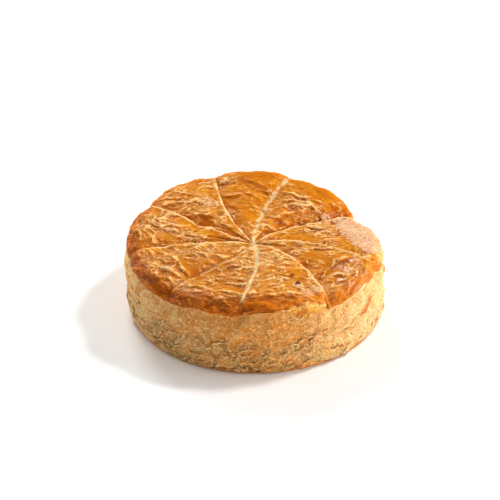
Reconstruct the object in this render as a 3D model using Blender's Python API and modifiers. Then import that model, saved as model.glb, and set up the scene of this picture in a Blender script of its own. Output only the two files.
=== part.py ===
"""Galette des rois: one uncut disc of puff pastry, puffed up between nine curved scores.

Metres, +Z up. The origin is the middle of the flat base, and the front is towards -Y.
A plain drum is turned from a profile. Each of its points is then moved to the baked form:
a top that is dished in the middle, wedges that swell between the scores, a rolled rim,
and a side of two pastry sheets that bulge above and below their seam.
"""

import math

import bmesh
import bpy

MM = 0.001

# Driving dimensions of the baked disc.
BASE_RADIUS = 54.3 * MM
LIP_RADIUS = 53.9 * MM
CENTRE_HEIGHT = 30.3 * MM
LEAN = 1.2 * MM                 # the top sits this far to the left of the base
SHIFT_X = 0.07 * MM             # these two bring the middle of the outline over the origin
SHIFT_Y = -0.13 * MM

# The rolled edge of the glazed top.
ROLL_WIDTH = 5.4 * MM
ROLL_DROP = 5.6 * MM
LIP_STEP = 0.4 * MM             # the side starts this far inside the lip

# The scores, anticlockwise: angles in degrees at the centre and at the rim, how far each line
# bows, and the share of its depth that is left at the rim.
SCORES = (
    (-20.0, -56.0, -5.4, 1.2),
    (12.7, -21.0, -0.8, 0.5),
    (53.8, 34.5, -4.0, 0.4),
    (90.8, 71.5, -2.4, 1.0),
    (124.4, 108.5, 0.3, 1.0),
    (160.0, 152.0, -3.2, 0.8),
    (179.2, 194.0, 0.8, 0.7),
    (242.9, 230.0, -4.4, 0.2),
    (283.2, 264.0, -3.6, 0.9),
)
SCORE_DEPTH = 1.1 * MM
SCORE_HALF_WIDTH = 1.0 * MM
SCORE_CENTRE = -0.9 * MM        # the lines meet a little in front of the middle
NOTCH_DEPTH = 1.0 * MM          # how far a score's end pulls the outline in
NOTCH_WIDTH = 3.0 * MM

# Height in mm of the rim at the two ends of each wedge, from the first score's wedge on,
# and the power that eases one into the other.
WEDGE_RISE = (
    (29.8, 32.6, 2.0),
    (32.8, 25.6, 0.7),
    (28.6, 35.2, 0.6),
    (35.8, 36.4, 1.0),
    (35.9, 34.9, 1.0),
    (35.0, 33.9, 1.0),
    (33.7, 32.8, 1.0),
    (32.5, 33.2, 1.0),
    (34.9, 33.0, 1.0),
)
WEDGE_PUFF = 1.2 * MM
STEP_WIDTH = 1.6 * MM           # the step between two wedges is eased over this far

# The side: two pastry sheets with a seam between them, and a shoulder that stands out at the left.
SEAM_SHARE = 0.5                # height of the seam as a share of the side
SEAM_DEPTH = 0.35 * MM
BELLY = 0.7 * MM
FOOT_ROUND = 0.9 * MM
SHOULDER = 1.5 * MM
SHOULDER_ANGLE = 190.0
SHOULDER_HALF_WIDTH = 50.0

# How the turned drum is divided.
WEDGE_COLUMNS = 13
CENTRE_RINGS = (1.6 * MM, 3.6 * MM, 6.0 * MM)
FLAT_RINGS = 13
ROLL_RINGS = 6
SIDE_SHARES = (0.97, 0.9, 0.81, 0.72, 0.63, 0.56, 0.5, 0.44, 0.37, 0.28, 0.19, 0.1, 0.04)
DRUM_HEIGHT = 40.0 * MM

CRUST_COLOUR = (0.62, 0.27, 0.07, 1.0)
CRUST_ROUGHNESS = 0.45


def clear_scene():
    """Take away whatever the file held."""
    for old in list(bpy.data.objects):
        bpy.data.objects.remove(old)


def smooth_step(value):
    """Ease from 0 to 1 as the value goes from 0 to 1."""
    value = min(max(value, 0.0), 1.0)
    return value * value * (3.0 - 2.0 * value)


def score_angle(index, reach):
    """Angle of a score where the reach is 0 at the centre and 1 at the rim."""
    turns, place = divmod(index, len(SCORES))
    centre, rim, bow, _ = SCORES[place]
    degrees = centre + (rim - centre) * reach + 4.0 * bow * reach * (1.0 - reach)
    return math.radians(degrees + 360.0 * turns)


def column_share(step, arc):
    """How far across its wedge a column stands, with extra columns on the scores' flanks."""
    flank = min(SCORE_HALF_WIDTH / arc, 0.25)
    if step <= 2:
        return flank * step / 2
    if step >= WEDGE_COLUMNS - 2:
        return 1.0 - flank * (WEDGE_COLUMNS - step) / 2
    return flank + (1.0 - 2.0 * flank) * (step - 2) / (WEDGE_COLUMNS - 4)


def place_in_wedge(column, radius):
    """Angle, share across the wedge, and distance to the nearest score of a grid point."""
    wedge, step = divmod(column, WEDGE_COLUMNS)
    reach = radius / LIP_RADIUS
    first = score_angle(wedge, reach)
    span = score_angle(wedge + 1, reach) - first
    arc = span * max(radius, MM)
    share = column_share(step, arc)
    return first + span * share, share, min(share, 1.0 - share) * arc


def rim_height(wedge, share, edge):
    """Height of the rim over a wedge, with a short step to its neighbour at the score."""
    start, end, ease = WEDGE_RISE[wedge]
    own = start + (end - start) * share ** ease
    if share > 0.5:
        beside = WEDGE_RISE[(wedge + 1) % len(WEDGE_RISE)][0]
        middle = (end + beside) / 2
    else:
        beside = WEDGE_RISE[wedge - 1][1]
        middle = (start + beside) / 2
    return (middle + (own - middle) * smooth_step(edge / STEP_WIDTH)) * MM


def score_depth(wedge, share, reach):
    """Depth of the nearest score, which runs out towards the rim on some lines."""
    nearest = (wedge + (1 if share > 0.5 else 0)) % len(SCORES)
    at_rim = SCORES[nearest][3]
    return SCORE_DEPTH * (1.0 + (at_rim - 1.0) * smooth_step(2.0 * reach - 0.8))


def swell(x, y):
    """Broad unevenness of the baked top."""
    hills = math.sin(x / (7.1 * MM) + 1.3) * math.sin(y / (5.9 * MM) + 0.4)
    folds = math.sin(y / (2.1 * MM) + 1.5 * math.sin(x / (6.3 * MM)) + 0.08 * x / MM)
    return (0.3 * hills + 0.25 * folds) * MM


def roll_drop(radius):
    """How far the rolled edge has curved down at a radius."""
    across = min(max((radius - LIP_RADIUS + ROLL_WIDTH) / ROLL_WIDTH, 0.0), 1.0)
    return ROLL_DROP * (1.0 - math.sqrt(1.0 - across * across))


def outline_offset(angle, edge):
    """How far the outline stands out from its circle, notched where a score ends."""
    waves = 0.30 * math.sin(2 * angle + 0.5) + 0.22 * math.sin(3 * angle + 2.1)
    waves += 0.15 * math.sin(5 * angle + 0.9) + 0.10 * math.sin(8 * angle + 3.0)
    notch = NOTCH_DEPTH * math.exp(-(edge / NOTCH_WIDTH) ** 2)
    return waves * MM - notch


def top_height(column, radius):
    """Height of the top at a grid point."""
    angle, share, edge = place_in_wedge(column, radius)
    wedge = column // WEDGE_COLUMNS
    rim = rim_height(wedge, share, edge)
    rise = min(radius / (LIP_RADIUS - ROLL_WIDTH), 1.0) ** 1.25
    height = CENTRE_HEIGHT + (rim - CENTRE_HEIGHT) * rise
    arc_share = min(radius / (24.0 * MM), 1.0)
    height += WEDGE_PUFF * arc_share * ((1.0 - (2.0 * share - 1.0) ** 2) - 0.6)
    height += swell(radius * math.cos(angle), radius * math.sin(angle)) * arc_share
    depth = score_depth(wedge, share, radius / LIP_RADIUS)
    height -= depth * (1.0 - smooth_step(edge / SCORE_HALF_WIDTH))
    return height - roll_drop(radius)


def lean_over(x, y, z):
    """Shift the upper part of the disc to the left and the foot to the right."""
    return x - LEAN * (z / CENTRE_HEIGHT - 0.5) + SHIFT_X, y + SHIFT_Y, z


def top_point(column, radius):
    """Place of a point of the glazed top."""
    angle, _, edge = place_in_wedge(column, radius)
    reach = radius / LIP_RADIUS
    true_radius = radius + outline_offset(angle, edge) * reach ** 3
    x = true_radius * math.cos(angle)
    y = true_radius * math.sin(angle) + SCORE_CENTRE * (1.0 - reach)
    return lean_over(x, y, top_height(column, radius))


def shoulder(angle):
    """How far the upper side stands out beyond the lip."""
    turn = math.remainder(math.degrees(angle) - SHOULDER_ANGLE, 360.0)
    return SHOULDER * smooth_step(1.0 - abs(turn) / SHOULDER_HALF_WIDTH)


def side_point(column, share):
    """Place of a point of the side: share 1 is just under the lip and 0 is the base."""
    angle, _, edge = place_in_wedge(column, LIP_RADIUS)
    lip_height = top_height(column, LIP_RADIUS)
    plain = outline_offset(angle, 9.0 * NOTCH_WIDTH)
    notched = outline_offset(angle, edge)
    top_offset = plain + (notched - plain) * smooth_step((share - 0.6) / 0.4)
    top_radius = LIP_RADIUS - LIP_STEP + top_offset
    top_radius += shoulder(angle) * smooth_step((1.0 - share) / 0.12)
    foot_radius = BASE_RADIUS + 0.5 * plain
    seam_share = SEAM_SHARE + 0.03 * math.sin(2.0 * angle + 1.0)
    radius = foot_radius + (top_radius - foot_radius) * share
    radius += BELLY * math.sin(2.0 * math.pi * share) ** 2
    radius -= SEAM_DEPTH * math.exp(-((share - seam_share) / 0.04) ** 2)
    radius += 0.2 * MM * math.sin(19.0 * share + 3.0 * angle) * math.sin(math.pi * share)
    x = radius * math.cos(angle)
    y = radius * math.sin(angle)
    return lean_over(x, y, share * lip_height)


def base_point(column, radius):
    """Place of a point of the flat base."""
    angle, _, _ = place_in_wedge(column, LIP_RADIUS)
    return lean_over(radius * math.cos(angle), radius * math.sin(angle), 0.0)


def drum_profile():
    """Points of the drum's profile as (radius, height), from the top's middle to the base's."""
    points = [(0.0, DRUM_HEIGHT)]
    points += [(radius, DRUM_HEIGHT) for radius in CENTRE_RINGS]
    flat = LIP_RADIUS - ROLL_WIDTH - CENTRE_RINGS[-1]
    for ring in range(1, FLAT_RINGS + 1):
        points.append((CENTRE_RINGS[-1] + flat * ring / (FLAT_RINGS + 1), DRUM_HEIGHT))
    for ring in range(ROLL_RINGS + 1):
        lean = 0.5 * math.pi * ring / ROLL_RINGS
        points.append((LIP_RADIUS - ROLL_WIDTH * (1.0 - math.sin(lean)), DRUM_HEIGHT))
    points += [(LIP_RADIUS, DRUM_HEIGHT * share) for share in SIDE_SHARES]
    points += [(BASE_RADIUS - FOOT_ROUND, 0.0), (BASE_RADIUS * 0.5, 0.0), (0.0, 0.0)]
    return points


def turn_drum(collection):
    """Turn the profile about Z into a closed drum, as an object with a plain mesh."""
    points = drum_profile()
    mesh = bpy.data.meshes.new("drum_profile")
    edges = [(i, i + 1) for i in range(len(points) - 1)]
    mesh.from_pydata([(radius, 0.0, height) for radius, height in points], edges, [])
    drum = bpy.data.objects.new("galette", mesh)
    collection.objects.link(drum)
    screw = drum.modifiers.new("turn", "SCREW")
    screw.steps = WEDGE_COLUMNS * len(SCORES)
    screw.render_steps = screw.steps
    screw.use_merge_vertices = True
    screw.merge_threshold = 0.00001
    bpy.context.view_layer.update()
    depsgraph = bpy.context.evaluated_depsgraph_get()
    turned = bpy.data.meshes.new_from_object(drum.evaluated_get(depsgraph))
    drum.modifiers.clear()
    drum.data = turned
    bpy.data.meshes.remove(mesh)
    return drum


def baked_place(point):
    """Where a point of the plain drum goes on the baked disc."""
    radius = math.hypot(point.x, point.y)
    columns = WEDGE_COLUMNS * len(SCORES)
    column = round(math.atan2(point.y, point.x) / (2.0 * math.pi) * columns) % columns
    if point.z > DRUM_HEIGHT - 1e-6:
        if radius < 1e-6:
            return lean_over(0.0, SCORE_CENTRE, CENTRE_HEIGHT - SCORE_DEPTH)
        return top_point(column, radius)
    if point.z > 1e-6:
        return side_point(column, point.z / DRUM_HEIGHT)
    return base_point(column, radius)


def bake_form(drum):
    """Move every point of the drum to its place, and give each quad its shorter diagonal."""
    bm = bmesh.new()
    bm.from_mesh(drum.data)
    for vertex in bm.verts:
        vertex.co = baked_place(vertex.co)
    bmesh.ops.triangulate(bm, faces=bm.faces[:], quad_method="SHORT_EDGE")
    bmesh.ops.recalc_face_normals(bm, faces=bm.faces[:])
    bm.to_mesh(drum.data)
    bm.free()


def crust_material():
    """Browned pastry under an egg glaze."""
    material = bpy.data.materials.new("browned crust")
    material.use_nodes = True
    shader = material.node_tree.nodes["Principled BSDF"]
    shader.inputs["Base Color"].default_value = CRUST_COLOUR
    shader.inputs["Roughness"].default_value = CRUST_ROUGHNESS
    shader.inputs["Metallic"].default_value = 0.0
    return material


def build_galette():
    """Make the whole galette in its own collection."""
    collection = bpy.data.collections.new("galette des rois")
    bpy.context.scene.collection.children.link(collection)
    galette = turn_drum(collection)
    bake_form(galette)
    galette.data.materials.clear()
    galette.data.materials.append(crust_material())
    galette.data.shade_smooth()
    galette.data.set_sharp_from_angle(angle=math.radians(50.0))
    return galette


clear_scene()
build_galette()
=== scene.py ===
# %% [markdown]
# # A galette des rois
#
# This lesson dresses a baked disc of puff pastry. The plain solid comes from the packed
# frame. Here it gets its real skin: a glazed, wrinkled top cut by nine curved scores, a
# flaky side, a browned underside, and the small leaves of pastry that lift off the side.

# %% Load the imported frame
import math

import bpy
import numpy as np
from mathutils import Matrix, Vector


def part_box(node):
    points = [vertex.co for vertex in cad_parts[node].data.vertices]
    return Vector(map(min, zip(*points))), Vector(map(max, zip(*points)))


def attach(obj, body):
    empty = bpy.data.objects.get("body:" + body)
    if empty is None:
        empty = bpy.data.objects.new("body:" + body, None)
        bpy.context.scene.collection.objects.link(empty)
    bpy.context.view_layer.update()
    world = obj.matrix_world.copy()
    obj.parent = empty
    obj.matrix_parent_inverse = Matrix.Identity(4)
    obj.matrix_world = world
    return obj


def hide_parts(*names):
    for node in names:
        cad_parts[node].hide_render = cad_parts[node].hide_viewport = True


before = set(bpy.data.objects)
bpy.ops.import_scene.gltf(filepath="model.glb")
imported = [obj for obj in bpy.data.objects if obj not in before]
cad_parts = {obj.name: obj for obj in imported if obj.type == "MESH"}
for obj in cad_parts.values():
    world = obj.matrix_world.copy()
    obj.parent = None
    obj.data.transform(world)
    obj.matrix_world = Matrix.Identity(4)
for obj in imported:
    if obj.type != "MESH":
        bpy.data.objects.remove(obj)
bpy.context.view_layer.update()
low, high = (np.array(corner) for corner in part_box("galette"))
print("galette stands", np.round((high - low) * 1000, 1), "mm")

# %% [markdown]
# ## Numbers that repeat
#
# Baked pastry is uneven everywhere, but it has to come out the same on every run. So the
# unevenness is a noise worked out from whole numbers, and not from a random generator.
# All shaping below is in millimetres, which reads better than metres at this size.

# %% Noise helpers
MM = 0.001


def ease(value):
    value = np.clip(value, 0.0, 1.0)
    return value * value * (3.0 - 2.0 * value)


def lattice(ix, iy, seed):
    mixed = (ix * 374761393 + iy * 668265263 + seed * 974634777) & 0xFFFFFFFF
    mixed = ((mixed ^ (mixed >> 13)) * 1274126177) & 0xFFFFFFFF
    return ((mixed ^ (mixed >> 16)) & 0xFFFF) / 65535.0


def noise(x, y, seed=0, wrap=0):
    """Smooth noise, about -0.7 to 0.9; with wrap it repeats after that many cells in x."""
    ix = np.floor(x).astype(np.int64)
    iy = np.floor(y).astype(np.int64)
    fx = x - ix
    fy = y - iy
    ux = fx ** 3 * (fx * (fx * 6.0 - 15.0) + 10.0)
    uy = fy ** 3 * (fy * (fy * 6.0 - 15.0) + 10.0)
    total = 0.0
    for dx, wx in ((0, 1.0 - ux), (1, ux)):
        for dy, wy in ((0, 1.0 - uy), (1, uy)):
            column = (ix + dx) % wrap if wrap else ix + dx
            turn = 2.0 * np.pi * lattice(column, iy + dy, seed)
            total = total + wx * wy * (np.cos(turn) * (fx - dx) + np.sin(turn) * (fy - dy))
    return 1.5 * total


sample = noise(np.linspace(0, 40, 4000), np.linspace(3, 17, 4000), 5)
print("noise runs from", round(float(sample.min()), 2), "to", round(float(sample.max()), 2))

# %% [markdown]
# ## The scores and the wedges
#
# A baker cuts curved lines from the middle to the rim before baking. Between them the
# pastry puffs up unevenly, so each wedge has its own height at the rim. The same few
# numbers shaped the solid, so the skin made here lies right on it.

# %% The form of the baked disc
LIP_RADIUS = 53.9
BASE_RADIUS = 54.3
CENTRE_HEIGHT = 30.3
LEAN = 1.2
SHIFT = (0.07, -0.13)
ROLL_WIDTH = 5.4
ROLL_DROP = 5.6
LIP_STEP = 0.4
SCORE_CENTRE = -0.9
NOTCH_DEPTH = 1.0
NOTCH_WIDTH = 3.0
WEDGE_PUFF = 1.2
STEP_WIDTH = 1.6

# Angle at the centre and at the rim, bow, depth at the rim; then how the cut looks in
# the skin: its depth, half width, paleness, how far out it is pale, the depth of the
# hollow on its far side and the height of the swelling on its near side.
SCORES = np.array([
    (-20.0, -56.0, -5.4, 1.2, 1.00, 0.70, 0.15, 20.0, 0.8, 0.8),
    (12.7, -21.0, -0.8, 0.5, 0.25, 0.40, 0.50, 26.0, 1.0, 0.7),
    (53.8, 34.5, -4.0, 0.4, 0.25, 0.40, 0.50, 18.0, 1.2, 0.8),
    (90.8, 71.5, -2.4, 1.0, 0.30, 0.56, 1.00, 60.0, 0.3, 0.2),
    (124.4, 108.5, 0.3, 1.0, 0.40, 0.36, 0.40, 42.0, 1.0, 0.5),
    (160.0, 152.0, -3.2, 0.8, 0.25, 0.40, 0.35, 30.0, 1.5, 0.8),
    (179.2, 194.0, 0.8, 0.7, 0.25, 0.40, 0.40, 26.0, 1.1, 0.8),
    (242.9, 230.0, -4.4, 0.2, 0.25, 0.66, 0.42, 34.0, 0.3, 0.3),
    (283.2, 264.0, -3.6, 0.9, 0.40, 0.72, 1.00, 60.0, 0.2, 0.2),
])

# Height of the rim at a wedge's two ends, and the power that eases one into the other.
WEDGES = np.array([
    (29.8, 32.6, 2.0),
    (32.8, 25.6, 0.7),
    (28.6, 35.2, 0.6),
    (35.8, 36.4, 1.0),
    (35.9, 34.9, 1.0),
    (35.0, 33.9, 1.0),
    (33.7, 32.8, 1.0),
    (32.5, 33.2, 1.0),
    (34.9, 33.0, 1.0),
])
COUNT = len(SCORES)


def score_angle(index, reach):
    centre, rim, bow = (SCORES[index % COUNT, k] for k in range(3))
    degrees = centre + (rim - centre) * reach + 4.0 * bow * reach * (1.0 - reach)
    return np.radians(degrees + 360.0 * (index // COUNT))


def in_wedge(across, radius):
    """Angle, wedge, share across it, distance to the nearest score, and that score."""
    wedge = np.floor(across + 1e-9).astype(int)
    share = across - wedge
    reach = radius / LIP_RADIUS
    first = score_angle(wedge, reach)
    span = score_angle(wedge + 1, reach) - first
    angle = first + span * share
    edge = np.minimum(share, 1.0 - share) * span * np.maximum(radius, 1.0)
    nearest = (wedge + (share > 0.5)) % COUNT
    return angle, wedge % COUNT, share, edge, nearest


def rim_height(wedge, share, edge):
    start, end, power = WEDGES[wedge].T
    own = start + (end - start) * share ** power
    after = (end + WEDGES[(wedge + 1) % COUNT, 0]) / 2
    before = (start + WEDGES[wedge - 1, 1]) / 2
    middle = np.where(share > 0.5, after, before)
    return middle + (own - middle) * ease(edge / STEP_WIDTH)


def outline_offset(angle, edge):
    waves = 0.30 * np.sin(2 * angle + 0.5) + 0.22 * np.sin(3 * angle + 2.1)
    waves += 0.15 * np.sin(5 * angle + 0.9) + 0.10 * np.sin(8 * angle + 3.0)
    return waves - NOTCH_DEPTH * np.exp(-(edge / NOTCH_WIDTH) ** 2)


def swell(x, y):
    hills = np.sin(x / 7.1 + 1.3) * np.sin(y / 5.9 + 0.4)
    folds = np.sin(y / 2.1 + 1.5 * np.sin(x / 6.3) + 0.08 * x)
    return 0.3 * hills + 0.25 * folds


def settled(x, y, z):
    """The disc leans to the left, and the middle of its outline is over the origin."""
    return np.stack([x - LEAN * (z / CENTRE_HEIGHT - 0.5) + SHIFT[0], y + SHIFT[1], z], axis=-1)


print(COUNT, "scores, rim from", WEDGES[:, :2].min(), "to", WEDGES[:, :2].max(), "mm high")

# %% [markdown]
# ## A grid that follows the scores
#
# The top could be a subdivided copy of the solid, but then the cuts would run across its
# faces and come out jagged. Instead its grid is laid out in rings and columns, and the
# columns bend with the scores. Inner rings hold fewer columns, so faces stay even in size.

# %% Rings, columns and faces
FACE = 0.39


def column_count(radius):
    """Columns to a wedge: halved each time the ring is half as wide."""
    for columns, widest in ((12, 6.5), (24, 13.0), (48, 26.0)):
        if radius < widest:
            return columns
    return 96


def ring_grid(radii):
    """Columns of each ring, the ring and wedge place of each point, and the faces."""
    counts = [COUNT * column_count(radius) for radius in radii]
    starts = np.concatenate([[0], np.cumsum(counts)])
    ring = np.repeat(np.arange(len(radii)), counts)
    across = np.concatenate([np.arange(n) * COUNT / n for n in counts])
    faces = []
    for i in range(len(radii) - 1):
        inner, outer = counts[i], counts[i + 1]
        a = np.arange(inner)
        b = (a + 1) % inner
        if inner == outer:
            quads = np.stack([starts[i] + a, starts[i + 1] + a, starts[i + 1] + b,
                              starts[i] + b], axis=1)
            faces += quads.tolist()
            continue
        c = 2 * a
        d = c + 1
        e = (c + 2) % outer
        low_ring, high_ring = starts[i], starts[i + 1]
        faces += np.stack([low_ring + a, high_ring + c, high_ring + d], axis=1).tolist()
        faces += np.stack([low_ring + a, high_ring + d, low_ring + b], axis=1).tolist()
        faces += np.stack([low_ring + b, high_ring + d, high_ring + e], axis=1).tolist()
    return ring, across, faces


flat_radii = np.concatenate([[0.35, 0.8], np.arange(1.2, LIP_RADIUS - ROLL_WIDTH, FACE)])
roll_steps = np.linspace(0.0, 0.5 * np.pi, 22)[1:]
tuck_steps = np.array([0.4, 0.9, 1.4, 2.2])
tuck_drops = np.array([0.08, 0.2, 0.5, 1.4])
print(len(flat_radii), "rings on the top,", len(roll_steps), "on its rolled edge")

# %% [markdown]
# ## The glazed skin
#
# Puff pastry wrinkles as it rises: thin crests that run mostly side to side, close
# together in bands, with smooth glazed hollows between them. Real relief catches the
# light far better than a bump map, so every wrinkle that can be seen is moved mesh.

# %% The smooth top
SCORE_DEPTH = 1.1
SCORE_HALF_WIDTH = 1.0


def score_depth(nearest, reach):
    at_rim = SCORES[nearest, 3]
    return SCORE_DEPTH * (1.0 + (at_rim - 1.0) * ease(2.0 * reach - 0.8))


def top_surface(across, radius, drop):
    """Places on the smooth top, with the values that the relief is worked out from."""
    angle, wedge, share, edge, nearest = in_wedge(across, radius)
    reach = radius / LIP_RADIUS
    rim = rim_height(wedge, share, edge)
    rise = np.minimum(radius / (LIP_RADIUS - ROLL_WIDTH), 1.0) ** 1.25
    height = CENTRE_HEIGHT + (rim - CENTRE_HEIGHT) * rise
    spread = np.minimum(radius / 24.0, 1.0)
    height += WEDGE_PUFF * spread * ((1.0 - (2.0 * share - 1.0) ** 2) - 0.6)
    height += swell(radius * np.cos(angle), radius * np.sin(angle)) * spread
    true_radius = radius + outline_offset(angle, edge) * reach ** 3
    x = true_radius * np.cos(angle)
    y = true_radius * np.sin(angle) + SCORE_CENTRE * (1.0 - reach)
    places = settled(x, y, height - drop)
    return places, angle, wedge, share, edge, nearest, reach


radii = np.concatenate([
    flat_radii,
    LIP_RADIUS - ROLL_WIDTH * (1.0 - np.sin(roll_steps)),
    LIP_RADIUS - tuck_steps,
])
drops = np.concatenate([
    flat_radii * 0.0,
    ROLL_DROP * (1.0 - np.cos(roll_steps)),
    ROLL_DROP + tuck_drops,
])
arc_steps = np.hypot(np.diff(radii), np.diff(drops))
arcs = np.concatenate([[radii[0]], radii[0] + np.cumsum(arc_steps)])
ring, across, top_faces = ring_grid(np.where(np.arange(len(radii)) < len(flat_radii), radii, 99))
print(len(ring), "points on the top")

# %% Mesh helpers
def make_piece(name, places, faces):
    """A mesh object from places in millimetres."""
    mesh = bpy.data.meshes.new(name)
    mesh.from_pydata((places * MM).tolist(), [], faces)
    mesh.update()
    mesh.shade_smooth()
    piece = bpy.data.objects.new(name, mesh)
    bpy.context.scene.collection.objects.link(piece)
    return piece


def normals_of(piece):
    flat = np.empty(len(piece.data.vertices) * 3, dtype=np.float32)
    piece.data.vertex_normals.foreach_get("vector", flat)
    return flat.reshape(-1, 3).astype(float)


def move_out(piece, places, amount):
    """Move every point along its normal by so many millimetres."""
    moved = places + normals_of(piece) * amount[:, None]
    piece.data.vertices.foreach_set("co", (moved * MM).astype(np.float32).ravel())
    piece.data.update()
    return moved


def spread(piece, values, rounds):
    """Let each point share its value with its neighbours, so many rounds."""
    ends = np.empty(len(piece.data.edges) * 2, dtype=np.int32)
    piece.data.edges.foreach_get("vertices", ends)
    one, other = ends.reshape(-1, 2).T
    size = len(values)
    friends = np.bincount(one, minlength=size) + np.bincount(other, minlength=size)
    for _ in range(rounds):
        total = np.bincount(one, values[other], size) + np.bincount(other, values[one], size)
        values = 0.4 * values + 0.6 * total / np.maximum(friends, 1)
    return values


def paint(piece, name, values):
    """Store one number at each point, for the material to read."""
    layer = piece.data.attributes.new(name, "FLOAT", "POINT")
    layer.data.foreach_set("value", np.clip(values, 0.0, 1.0).astype(np.float32))


def lay_flat(piece, corner_places):
    """Keep a flat map of the piece, from nought to one."""
    flat_map = piece.data.uv_layers.new(name="OFBake")
    flat_map.data.foreach_set("uv", corner_places.astype(np.float32).ravel())


def lay_flat_from_above(piece, x, y):
    """A flat map that looks straight down on the piece."""
    corners = np.empty(len(piece.data.loops), dtype=np.int32)
    piece.data.loops.foreach_get("vertex_index", corners)
    size = 2.02 * max(np.abs(x).max(), np.abs(y).max())
    lay_flat(piece, np.stack([x[corners], y[corners]], axis=1) / size + 0.5)


places, angle, wedge, share, edge, nearest, reach = top_surface(across, radii[ring], drops[ring])
top_faces.append(list(range(COUNT * column_count(0.0))))
top = make_piece("glazed_top", places, top_faces)
print("smooth top:", len(top.data.vertices), "points,", len(top.data.polygons), "faces")

# %% [markdown]
# ## Which way the wrinkles run
#
# As the leaves rise the glazed skin is pushed together, and it folds like cloth. The big
# folds below were placed one by one. Each is a low arc: it starts, it ends, it bows, and it
# is steep on one side, like a scale that lies over the next one.

# %% The big folds
# Start, end, bow to the left of the way it runs, height. The steep side is on the right.
FOLDS = (
    (-46.0, 22.0, -23.0, 26.0, 1.3, 0.9), (-39.0, 29.0, -32.0, 28.5, 0.0, 0.5),
    (-36.5, 19.5, -14.5, 18.0, -1.5, 1.0), (-20.0, 15.5, -8.0, 8.5, -0.5, 0.6),
    (-43.0, 7.0, -30.0, 6.5, -0.8, 0.5), (-30.0, 2.5, -21.5, 2.0, -1.0, 0.5),
    (-35.0, -0.5, -20.0, 1.0, -0.5, 0.7), (-41.5, -6.5, -47.0, 6.0, -1.5, 0.9),
    (-41.0, -12.5, -27.0, -29.5, 1.2, 1.0), (-40.0, -18.0, -28.5, -27.5, 1.2, 0.7),
    (-35.0, -10.0, -21.0, -16.5, 0.5, 0.5), (-31.0, -16.5, -20.0, -23.5, 1.5, 0.6),
    (-45.0, -10.0, -34.0, -23.5, -1.5, 0.8), (-44.5, -23.5, -27.5, -35.5, 1.9, 1.0),
    (-48.0, -20.0, -35.0, -34.0, -2.4, 0.7), (-22.5, -12.0, -10.5, -16.0, 0.5, 0.5),
    (-18.5, -25.0, -2.0, -25.0, 3.0, 0.6), (-17.0, -29.0, -1.5, -34.0, -0.8, 0.6),
    (-23.0, -35.0, -6.5, -37.0, -0.5, 0.6), (-10.5, -17.0, -1.5, -20.0, 1.0, 0.5),
    (-31.0, -38.0, -17.0, -43.5, 1.5, 1.3), (-18.0, -43.5, -4.0, -46.0, 0.5, 1.3),
    (-16.0, 41.5, -8.0, 44.0, 0.5, 0.6), (-14.0, 32.5, 0.0, 34.0, -1.0, 0.6),
    (-11.0, 27.0, -5.0, 19.5, 0.5, 0.4), (-4.5, 43.5, 8.5, 35.0, 0.5, 0.45),
    (-4.5, 34.0, 3.0, 30.0, 0.5, 0.5), (-3.5, 22.5, 3.5, 20.5, 1.0, 0.5),
    (12.0, 35.5, 31.5, 28.5, 0.5, 0.9), (10.0, 30.5, 25.0, 26.5, 1.2, 0.8),
    (25.0, 26.5, 31.0, 20.0, 0.5, 0.8), (7.0, 17.0, 23.0, 24.5, 0.5, 0.8),
    (2.0, 10.0, 10.0, 10.0, 0.8, 0.5), (22.0, 6.5, 35.0, 10.5, 1.0, 0.7),
    (16.0, 8.0, 33.0, 11.5, 3.0, 0.8), (24.0, -15.0, 29.5, -20.0, 0.5, 0.5),
    (2.0, -10.5, 10.5, -14.5, 2.0, 0.5), (2.5, -17.0, 10.0, -18.0, 2.0, 0.5),
    (2.5, -25.0, 16.5, -21.0, 1.5, 0.6), (2.5, -29.0, 10.0, -30.0, 1.5, 0.5),
    (24.5, -40.0, 11.0, -16.5, -3.1, 0.9), (2.0, -36.5, 9.0, -36.0, 1.5, 0.5),
    (-3.0, -50.0, 17.5, -45.5, 0.0, 1.3), (21.0, -44.0, 29.5, -41.5, 0.5, 0.6),
    (-2.5, -47.0, 7.5, -45.0, 0.3, 0.6), (26.6, -28.0, 42.5, -14.5, 3.0, 1.5),
    (37.5, -19.0, 39.5, -27.0, 0.8, 0.7), (43.5, -19.5, 45.5, -25.5, -0.5, 0.6),
    (31.5, -25.5, 36.5, -29.5, 0.5, 0.5), (33.0, -31.0, 39.5, -31.0, 0.6, 0.5),
    (32.0, -37.5, 37.0, -33.5, 0.4, 0.5), (41.0, -29.0, 45.5, -27.5, 0.5, 0.5),
    (32.5, 32.0, 37.5, 26.0, 0.5, 0.7), (36.5, 30.5, 39.5, 25.5, 0.4, 0.6),
)


def along_fold(x, y, fold):
    """Share of the way along an arc, and how far in front of it (on its steep side)."""
    x0, y0, x1, y1, bow, _ = fold
    length = math.hypot(x1 - x0, y1 - y0)
    ux, uy = (x1 - x0) / length, (y1 - y0) / length
    along = ((x - x0) * ux + (y - y0) * uy) / length
    front = 4.0 * bow * along * (1.0 - along) - ((y - y0) * ux - (x - x0) * uy)
    return along, front, length


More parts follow.
